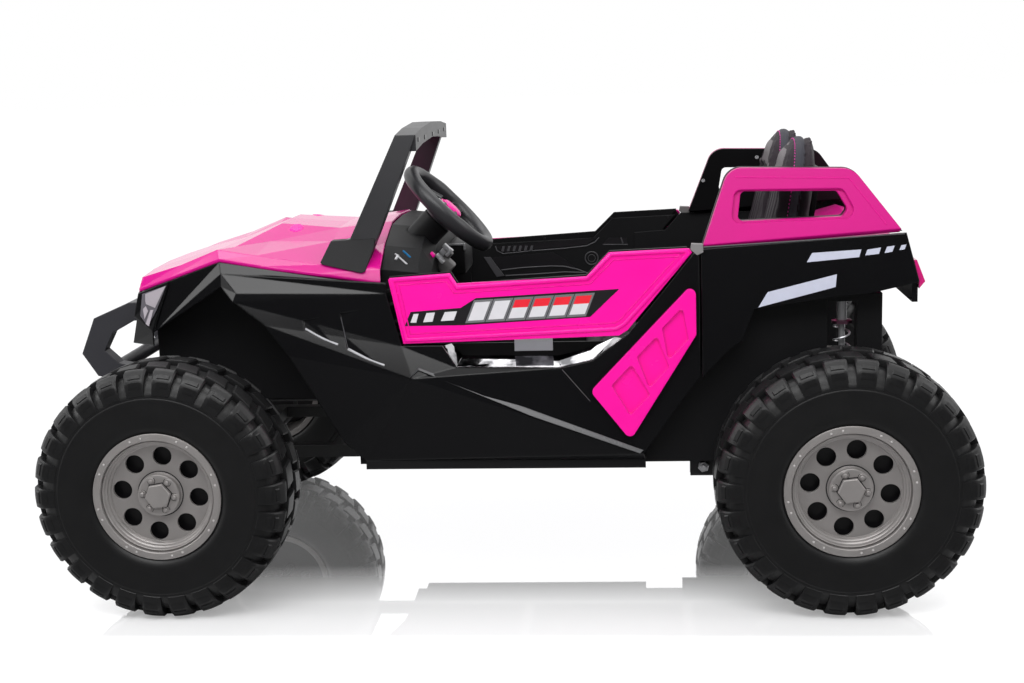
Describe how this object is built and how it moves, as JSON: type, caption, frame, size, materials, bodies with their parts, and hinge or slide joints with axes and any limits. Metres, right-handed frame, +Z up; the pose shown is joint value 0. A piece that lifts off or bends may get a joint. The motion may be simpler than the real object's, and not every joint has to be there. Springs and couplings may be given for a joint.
{
  "type": "ride-on dune buggy",
  "caption": "Children's ride-on dune buggy: faceted plastic body on a steel frame, two seats, hinged doors, balloon tyres, steering that turns the front wheels.",
  "frame": {"origin": "on the floor under the middle of the wheelbase, midway between the left and right wheels", "axes": "+X forward, +Y to the left, +Z up"},
  "size_m": [1.45, 0.9, 0.7408],
  "materials": {
    "pink_plastic": "satin gloss",
    "black_gloss_plastic": "gloss",
    "black_matte_plastic": "fine grain",
    "clear_lens": "clear moulded",
    "red_lens": "clear red",
    "tyre_rubber": "moulded rubber",
    "rim_grey": "titanium grey paint",
    "chrome_trim": "bright plated",
    "seat_leather": "grained leatherette",
    "black_steel": "powder coat",
    "bright_steel": "zinc plated"
  },
  "bodies": {
    "chassis": {"battery": "black_matte_plastic", "chassis_frame": "black_steel", "dashboard": "black_matte_plastic", "door_hinges": "black_steel", "floor_tub": "black_matte_plastic", "front_arch_left": "black_matte_plastic", "front_arch_right": "black_matte_plastic", "front_axle_beam": "black_steel", "front_bumper": "black_matte_plastic", "front_cross_members": "black_steel", "front_fascia": "black_gloss_plastic", "front_shocks": "bright_steel", "gear_motors": "black_matte_plastic", "headlight_left": "clear_lens", "headlight_right": "clear_lens", "hood": "pink_plastic", "rear_arch_liners": "black_matte_plastic", "rear_axle": "bright_steel", "rear_deck": "pink_plastic", "rear_pivot_brackets": "black_steel", "rear_shocks": "bright_steel", "rear_side_panel_left": "black_gloss_plastic", "rear_side_panel_right": "black_gloss_plastic", "rear_swing_arm": "black_steel", "rear_towers": "black_matte_plastic", "roll_frame_backings": "black_matte_plastic", "roll_frame_left": "pink_plastic", "roll_frame_right": "pink_plastic", "seat_back_left": "seat_leather", "seat_back_right": "seat_leather", "seat_base": "black_matte_plastic", "seat_cushion_left": "seat_leather", "seat_cushion_right": "seat_leather", "side_inserts": "pink_plastic", "side_pod_left": "black_gloss_plastic", "side_pod_right": "black_gloss_plastic", "sill_strips": "black_matte_plastic", "steering_column": "black_matte_plastic", "step_trims": "chrome_trim", "tail_lamps": "red_lens", "tail_panel": "black_matte_plastic", "windshield_frame": "black_matte_plastic"},
    "knuckle_left": {"knuckle_left": "black_steel"},
    "knuckle_right": {"knuckle_right": "black_steel"},
    "wheel_front_left": {"rim_front_left": "rim_grey", "tyre_front_left": "tyre_rubber"},
    "wheel_front_right": {"rim_front_right": "rim_grey", "tyre_front_right": "tyre_rubber"},
    "wheel_rear_left": {"rim_rear_left": "rim_grey", "tyre_rear_left": "tyre_rubber"},
    "wheel_rear_right": {"rim_rear_right": "rim_grey", "tyre_rear_right": "tyre_rubber"},
    "track_rod": {"track_rod": "black_steel"},
    "steering_wheel": {"steering_wheel": "black_matte_plastic", "wheel_badge": "pink_plastic"},
    "door_left": {"door_shell_left": "pink_plastic", "door_trim_left": "black_matte_plastic"},
    "door_right": {"door_shell_right": "pink_plastic", "door_trim_right": "black_matte_plastic"}
  },
  "joints": [
    {"name": "steer_left", "type": "hinge", "parent": "chassis", "child": "knuckle_left", "pos_m": [0.525, 0.262, 0.2], "axis": [0, 0, 1], "range_deg": [-22, 22]},
    {"name": "steer_right", "type": "hinge", "parent": "chassis", "child": "knuckle_right", "pos_m": [0.525, -0.262, 0.2], "axis": [0, 0, 1], "range_deg": [-22, 22]},
    {"name": "wheel_front_left_spin", "type": "hinge", "parent": "knuckle_left", "child": "wheel_front_left", "pos_m": [0.525, 0.375, 0.2], "axis": [0, 1, 0], "continuous": true},
    {"name": "wheel_front_right_spin", "type": "hinge", "parent": "knuckle_right", "child": "wheel_front_right", "pos_m": [0.525, -0.375, 0.2], "axis": [0, 1, 0], "continuous": true},
    {"name": "wheel_rear_left_spin", "type": "hinge", "parent": "chassis", "child": "wheel_rear_left", "pos_m": [-0.525, 0.375, 0.2], "axis": [0, 1, 0], "continuous": true},
    {"name": "wheel_rear_right_spin", "type": "hinge", "parent": "chassis", "child": "wheel_rear_right", "pos_m": [-0.525, -0.375, 0.2], "axis": [0, 1, 0], "continuous": true},
    {"name": "track_rod_swing", "type": "hinge", "parent": "knuckle_left", "child": "track_rod", "pos_m": [0.463, 0.262, 0.172], "axis": [0, 0, 1], "range_deg": [-22, 22]},
    {"name": "steering_wheel_turn", "type": "hinge", "parent": "chassis", "child": "steering_wheel", "pos_m": [0.0966, 0.13, 0.6028], "axis": [-0.7071, 0, 0.7071], "range_deg": [-66, 66]},
    {"name": "door_left_hinge", "type": "hinge", "parent": "chassis", "child": "door_left", "pos_m": [0.15837, 0.29752, 0.45843], "axis": [-0.2124, 0.1208, -0.9697], "range_deg": [0, 60]},
    {"name": "door_right_hinge", "type": "hinge", "parent": "chassis", "child": "door_right", "pos_m": [0.15837, -0.29752, 0.45843], "axis": [0.2124, 0.1208, 0.9697], "range_deg": [0, 60]}
  ],
  "couplings": [
    {"joint": "steer_right", "follows": "steer_left", "ratio": 1},
    {"joint": "steering_wheel_turn", "follows": "steer_left", "ratio": 3},
    {"joint": "track_rod_swing", "follows": "steer_left", "ratio": -1}
  ]
}
